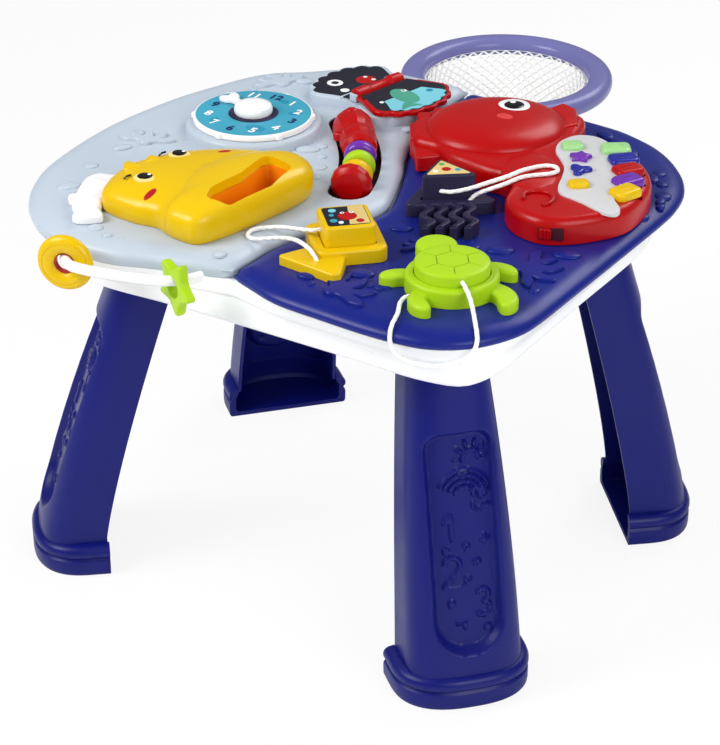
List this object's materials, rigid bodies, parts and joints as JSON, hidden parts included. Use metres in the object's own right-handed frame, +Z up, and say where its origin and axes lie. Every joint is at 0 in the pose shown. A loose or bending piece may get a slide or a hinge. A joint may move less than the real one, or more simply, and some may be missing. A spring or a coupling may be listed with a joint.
{
  "type": "activity table",
  "caption": "Low activity table for small children: a moulded tray on four splayed legs with turning, sliding, pressing and sorting sea toys, and a ball hoop behind.",
  "frame": {"origin": "on the floor under the middle of the part's outline, hoop and ring rod included", "axes": "+X to the right along the table top's long side, +Y to the back where the hoop is, +Z up"},
  "size_m": [0.4802, 0.6406, 0.3633],
  "materials": {
    "navy_plastic": "semi-gloss moulded",
    "leg_plastic": "satin moulded",
    "pale_plastic": "semi-gloss moulded",
    "white_plastic": "gloss moulded",
    "red_plastic": "gloss moulded",
    "yellow_plastic": "gloss moulded",
    "green_plastic": "gloss moulded",
    "mint_plastic": "gloss moulded",
    "blue_plastic": "gloss moulded",
    "purple_plastic": "gloss moulded",
    "indigo_plastic": "semi-gloss moulded",
    "lilac_plastic": "gloss moulded",
    "orange_plastic": "gloss moulded",
    "teal_print": "printed film",
    "tan_print": "printed film",
    "cord": "braided",
    "steel": "plated",
    "board": "lacquered laminate",
    "speaker_black": "moulded frame",
    "cell": "metal can"
  },
  "bodies": {
    "root": {"base_tray": "white_plastic", "reef_cover": "navy_plastic", "lagoon_cover": "pale_plastic", "leg_front_right": "leg_plastic", "leg_back_right": "leg_plastic", "leg_back_left": "leg_plastic", "leg_front_left": "leg_plastic", "cover_screw_1": "steel", "cover_screw_2": "steel", "cover_screw_3": "steel", "cover_screw_4": "steel", "page_pin": "steel", "shell_label": "indigo_plastic", "shrimp_frame": "red_plastic", "ring_rod": "white_plastic", "hoop": "lilac_plastic", "hoop_net": "cord", "music_top": "red_plastic", "music_base": "red_plastic", "key_bezel": "white_plastic", "circuit_board": "board", "speaker": "speaker_black", "battery_1": "cell", "battery_2": "cell", "battery_door": "red_plastic", "puffer_shell": "yellow_plastic", "puffer_throat": "orange_plastic", "puffer_fin": "white_plastic", "fish_frame": "yellow_plastic", "jelly_frame": "indigo_plastic", "turtle_frame": "green_plastic", "fish_cord": "cord", "jelly_cord": "cord", "turtle_cord": "cord"},
    "dial": {"clock_dial": "white_plastic", "dial_label": "teal_print", "clock_washer": "indigo_plastic"},
    "hand": {"clock_hand": "white_plastic"},
    "page": {"flip_page": "red_plastic", "page_label": "teal_print"},
    "purple_bead": {"bead_purple": "purple_plastic"},
    "green_bead": {"bead_green": "green_plastic"},
    "yellow_bead": {"bead_yellow": "yellow_plastic"},
    "ring": {"ring_yellow": "yellow_plastic"},
    "star": {"star_green": "green_plastic"},
    "green_key": {"key_green": "mint_plastic"},
    "blue_key": {"key_blue": "blue_plastic"},
    "red_key": {"key_red": "red_plastic"},
    "purple_key": {"key_purple": "purple_plastic"},
    "yellow_key": {"key_yellow": "yellow_plastic"},
    "green_button": {"button_green": "mint_plastic"},
    "star_button": {"button_star": "purple_plastic"},
    "clover_button": {"button_clover": "blue_plastic"},
    "yellow_button": {"button_yellow": "yellow_plastic"},
    "switch": {"switch_knob": "red_plastic"},
    "fish": {"fish_block": "yellow_plastic", "fish_label": "tan_print"},
    "jelly": {"jelly_block": "indigo_plastic", "jelly_label": "tan_print"},
    "turtle": {"turtle_block": "green_plastic"}
  },
  "joints": [
    {"name": "dial_turn", "type": "hinge", "parent": "root", "child": "dial", "pos_m": [-0.12768, -0.03373, 0.3433], "axis": [0, 0, 1], "continuous": true},
    {"name": "hand_turn", "type": "hinge", "parent": "root", "child": "hand", "pos_m": [-0.12768, -0.03373, 0.3513], "axis": [0, 0, 1], "continuous": true},
    {"name": "page_hinge", "type": "hinge", "parent": "root", "child": "page", "pos_m": [-0.07368, 0.07527, 0.3439], "axis": [-0.2045, -0.9789, 0], "range_deg": [0, 178]},
    {"name": "purple_bead_spin", "type": "hinge", "parent": "root", "child": "purple_bead", "pos_m": [-0.01738, -0.03976, 0.335], "axis": [0.5331, -0.846, 0], "continuous": true},
    {"name": "green_bead_spin", "type": "hinge", "parent": "root", "child": "green_bead", "pos_m": [-0.00806, -0.05601, 0.335], "axis": [0.4671, -0.8842, 0], "continuous": true},
    {"name": "yellow_bead_spin", "type": "hinge", "parent": "root", "child": "yellow_bead", "pos_m": [0.00012, -0.07287, 0.335], "axis": [0.3964, -0.9181, 0], "continuous": true},
    {"name": "ring_swing", "type": "hinge", "parent": "root", "child": "ring", "pos_m": [-0.11212, -0.30718, 0.32604], "axis": [0.6812, -0.7294, 0.0626], "range_deg": [-60, 60]},
    {"name": "star_swing", "type": "hinge", "parent": "root", "child": "star", "pos_m": [-0.01927, -0.29146, 0.32603], "axis": [0.6203, 0.7798, -0.0846], "range_deg": [-10, 60]},
    {"name": "green_key_press", "type": "slide", "parent": "root", "child": "green_key", "axis": [0, 0, -1], "range_m": [0, 0.002], "stiffness_N_per_m": 300, "springref_m": -0.001},
    {"name": "blue_key_press", "type": "slide", "parent": "root", "child": "blue_key", "axis": [0, 0, -1], "range_m": [0, 0.002], "stiffness_N_per_m": 300, "springref_m": -0.001},
    {"name": "red_key_press", "type": "slide", "parent": "root", "child": "red_key", "axis": [0, 0, -1], "range_m": [0, 0.002], "stiffness_N_per_m": 300, "springref_m": -0.001},
    {"name": "purple_key_press", "type": "slide", "parent": "root", "child": "purple_key", "axis": [0, 0, -1], "range_m": [0, 0.002], "stiffness_N_per_m": 300, "springref_m": -0.001},
    {"name": "yellow_key_press", "type": "slide", "parent": "root", "child": "yellow_key", "axis": [0, 0, -1], "range_m": [0, 0.002], "stiffness_N_per_m": 300, "springref_m": -0.001},
    {"name": "green_button_press", "type": "slide", "parent": "root", "child": "green_button", "axis": [0, 0, -1], "range_m": [0, 0.002], "stiffness_N_per_m": 300, "springref_m": -0.001},
    {"name": "star_button_press", "type": "slide", "parent": "root", "child": "star_button", "axis": [0, 0, -1], "range_m": [0, 0.002], "stiffness_N_per_m": 300, "springref_m": -0.001},
    {"name": "clover_button_press", "type": "slide", "parent": "root", "child": "clover_button", "axis": [0, 0, -1], "range_m": [0, 0.002], "stiffness_N_per_m": 300, "springref_m": -0.001},
    {"name": "yellow_button_press", "type": "slide", "parent": "root", "child": "yellow_button", "axis": [0, 0, -1], "range_m": [0, 0.002], "stiffness_N_per_m": 300, "springref_m": -0.001},
    {"name": "switch_slide", "type": "slide", "parent": "root", "child": "switch", "axis": [0.9336, 0.3584, 0], "range_m": [0, 0.0059]},
    {"name": "fish_lift", "type": "slide", "parent": "root", "child": "fish", "axis": [0, 0, 1], "range_m": [0, 0.04], "deforming": ["fish_cord"]},
    {"name": "jelly_lift", "type": "slide", "parent": "root", "child": "jelly", "axis": [0, 0, 1], "range_m": [0, 0.04], "deforming": ["jelly_cord"]},
    {"name": "turtle_lift", "type": "slide", "parent": "root", "child": "turtle", "axis": [0, 0, 1], "range_m": [0, 0.04], "deforming": ["turtle_cord"]}
  ]
}
